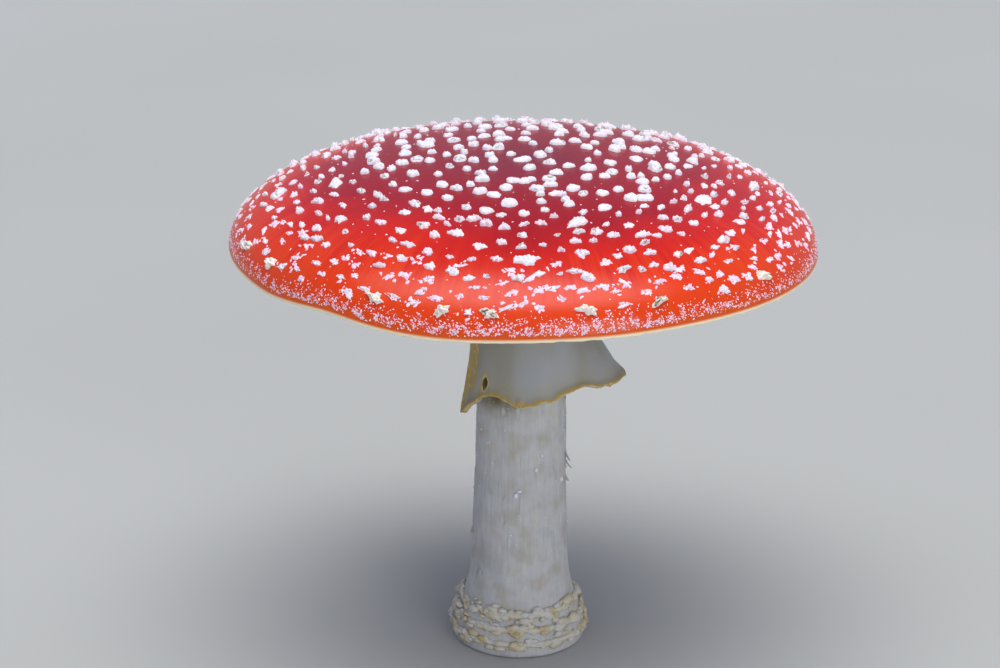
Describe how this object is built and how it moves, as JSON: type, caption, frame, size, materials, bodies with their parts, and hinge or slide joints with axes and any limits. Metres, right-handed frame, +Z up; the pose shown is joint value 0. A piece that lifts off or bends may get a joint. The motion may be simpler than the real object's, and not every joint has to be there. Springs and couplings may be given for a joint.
{
  "type": "fly agaric mushroom",
  "caption": "Red toadstool with a wide flat-domed cap, white warts, free gills, a hanging skirt and a scaly bulb, trimmed flat to stand.",
  "frame": {"origin": "the middle of the flat cut face under the bulb, on which the mushroom stands", "axes": "+Z up along the stem, +X to the right and -Y towards the viewer, who sees the skirt's wide side on the right"},
  "size_m": [0.1598, 0.1598, 0.1445],
  "materials": {
    "cap_skin": "glossy moist skin, crimson at the crown and orange-red towards the margin",
    "gill_flesh": "matt, white to pale cream",
    "stem_flesh": "matt, white, finely fibrous and flocked",
    "skirt_membrane": "satin membrane, white with an ochre hem",
    "wart_veil": "matt, crumbly, white",
    "margin_wart_veil": "matt, crumbly, cream",
    "bulb_scale": "matt, crumbly, cream to pale ochre"
  },
  "bodies": {
    "root": {"cap": "cap_skin", "gills": "gill_flesh", "stem": "stem_flesh", "ring": "skirt_membrane", "volva_belt_upper": "bulb_scale", "volva_belt_middle": "bulb_scale", "volva_belt_lower": "bulb_scale", "wart_01": "wart_veil", "wart_02": "wart_veil", "wart_03": "wart_veil", "wart_04": "wart_veil", "wart_05": "wart_veil", "wart_06": "wart_veil", "wart_07": "wart_veil", "wart_08": "wart_veil", "wart_09": "wart_veil", "wart_10": "wart_veil", "wart_11": "wart_veil", "wart_12": "wart_veil", "wart_13": "wart_veil", "wart_14": "wart_veil", "wart_15": "wart_veil", "wart_16": "wart_veil", "wart_17": "wart_veil", "wart_18": "wart_veil", "wart_19": "wart_veil", "wart_20": "wart_veil", "wart_21": "wart_veil", "wart_22": "wart_veil", "wart_23": "wart_veil", "wart_24": "wart_veil", "wart_25": "wart_veil", "wart_26": "wart_veil", "wart_27": "wart_veil", "wart_28": "wart_veil", "wart_29": "wart_veil", "wart_30": "wart_veil", "wart_31": "wart_veil", "wart_32": "wart_veil", "wart_33": "wart_veil", "wart_34": "wart_veil", "wart_35": "wart_veil", "wart_36": "wart_veil", "wart_37": "wart_veil", "wart_38": "wart_veil", "wart_39": "wart_veil", "wart_40": "wart_veil", "margin_wart_01": "margin_wart_veil", "margin_wart_02": "margin_wart_veil", "margin_wart_03": "margin_wart_veil", "margin_wart_04": "margin_wart_veil", "margin_wart_05": "margin_wart_veil", "margin_wart_06": "margin_wart_veil", "margin_wart_07": "margin_wart_veil", "margin_wart_08": "margin_wart_veil", "margin_wart_09": "margin_wart_veil", "margin_wart_10": "margin_wart_veil", "margin_wart_11": "margin_wart_veil", "margin_wart_12": "margin_wart_veil"}
  },
  "joints": []
}
